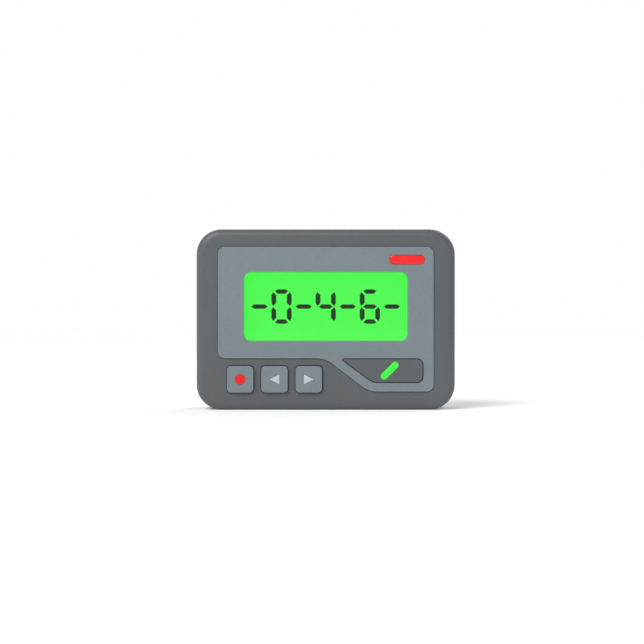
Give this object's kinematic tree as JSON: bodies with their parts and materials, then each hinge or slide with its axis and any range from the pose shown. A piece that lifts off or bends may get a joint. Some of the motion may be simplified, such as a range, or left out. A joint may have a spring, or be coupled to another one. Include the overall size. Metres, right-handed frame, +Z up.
{
  "type": "pager",
  "caption": "Pocket radio pager with a lit character display, press keys, alert lamp, vibration motor, sliding battery door and a sprung belt clip.",
  "frame": {"origin": "middle of the case's flat bottom face, which it stands on; depth is centred on the case without its keys and clip", "axes": "+X to the right across the display, +Y from the display to the belt clip, +Z up"},
  "size_m": [0.082, 0.0312, 0.0572],
  "materials": {
    "case": "fine-grained moulded ABS",
    "panel": "satin moulded ABS",
    "key_grey": "satin",
    "key_dark": "satin",
    "mark_red": "satin",
    "mark_light": "satin",
    "mark_green": "satin",
    "window": "clear polished acrylic",
    "lamp_red": "tinted, polished",
    "lamp_body": "moulded resin",
    "cell_glass": "polished glass",
    "display_green": "back-lit film",
    "segment_dark": "matt",
    "diffuser": "frosted",
    "black_plastic": "moulded",
    "silicone": "soft, matt",
    "black_rubber": "soft, matt",
    "board": "solder-masked glass epoxy",
    "chip": "moulded epoxy",
    "filter_tan": "dipped resin",
    "trimmer_white": "glazed",
    "tinned": "tin plated",
    "steel": "zinc plated",
    "spring_steel": "nickel plated",
    "heavy_metal": "sintered",
    "copper": "bare copper alloy",
    "gold": "flash gold plate",
    "bare_aluminium": "drawn",
    "cell_wrap": "shrink-wrapped film",
    "label": "blank metallised film",
    "clip_plastic": "glass-filled nylon"
  },
  "bodies": {
    "case": {"front_housing": "case", "face_panel": "panel", "display_window": "window", "alert_lens": "lamp_red", "alert_led": "lamp_body", "display_frame": "black_plastic", "display_cell": "cell_glass", "display_polariser": "display_green", "display_segments": "segment_dark", "display_backlight": "diffuser", "display_strip_upper": "silicone", "display_strip_lower": "silicone", "keypad_sheet": "silicone", "dome_dot": "silicone", "dome_left": "silicone", "dome_right": "silicone", "dome_read": "silicone", "keypad_pads": "gold", "main_board": "board", "decoder_chip": "chip", "memory_chip": "chip", "chip_leads": "tinned", "clock_crystal": "tinned", "capacitors": "bare_aluminium", "board_connector": "black_plastic", "receiver_board": "board", "receiver_chip": "chip", "shield_can": "tinned", "ceramic_filter": "filter_tan", "receiver_crystal": "tinned", "trimmers": "trimmer_white", "coils": "copper", "loop_antenna": "copper", "motor_can": "steel", "motor_holder": "black_rubber", "sounder": "black_plastic", "cell_can": "bare_aluminium", "cell_sleeve": "cell_wrap", "contact_spring": "spring_steel", "contact_plate": "spring_steel", "rear_housing": "case", "rear_label": "label", "case_screws": "steel", "board_screws": "steel", "clip_base": "clip_plastic", "clip_pin": "steel", "clip_spring": "spring_steel", "clip_screws": "steel"},
    "dot_key": {"key_dot": "key_grey", "key_dot_mark": "mark_red"},
    "left_key": {"key_left": "key_grey", "key_left_mark": "mark_light"},
    "right_key": {"key_right": "key_grey", "key_right_mark": "mark_light"},
    "read_key": {"key_read": "key_dark", "key_read_mark": "mark_green"},
    "lever": {"clip_lever": "clip_plastic"},
    "door": {"battery_door": "case"},
    "rotor": {"motor_shaft": "steel", "motor_weight": "heavy_metal"}
  },
  "joints": [
    {"name": "dot_key_press", "type": "slide", "parent": "case", "child": "dot_key", "axis": [0, 1, 0], "range_m": [0, 0.0008], "stiffness_N_per_m": 1900, "deforming": ["dome_dot"]},
    {"name": "left_key_press", "type": "slide", "parent": "case", "child": "left_key", "axis": [0, 1, 0], "range_m": [0, 0.0008], "stiffness_N_per_m": 1900, "deforming": ["dome_left"]},
    {"name": "right_key_press", "type": "slide", "parent": "case", "child": "right_key", "axis": [0, 1, 0], "range_m": [0, 0.0008], "stiffness_N_per_m": 1900, "deforming": ["dome_right"]},
    {"name": "read_key_press", "type": "slide", "parent": "case", "child": "read_key", "axis": [0, 1, 0], "range_m": [0, 0.0008], "stiffness_N_per_m": 1900, "deforming": ["dome_read"]},
    {"name": "clip_swing", "type": "hinge", "parent": "case", "child": "lever", "pos_m": [0, 0.0148, 0.046], "axis": [1, 0, 0], "range_deg": [0, 25], "stiffness_Nm_per_rad": 0.15, "springref_deg": -20.05, "deforming": ["clip_spring"]},
    {"name": "battery_door_slide", "type": "slide", "parent": "case", "child": "door", "axis": [1, 0, 0], "range_m": [0, 0.07]},
    {"name": "motor_spin", "type": "hinge", "parent": "case", "child": "rotor", "pos_m": [0, 0.0023, 0.0226], "axis": [1, 0, 0], "continuous": true}
  ]
}
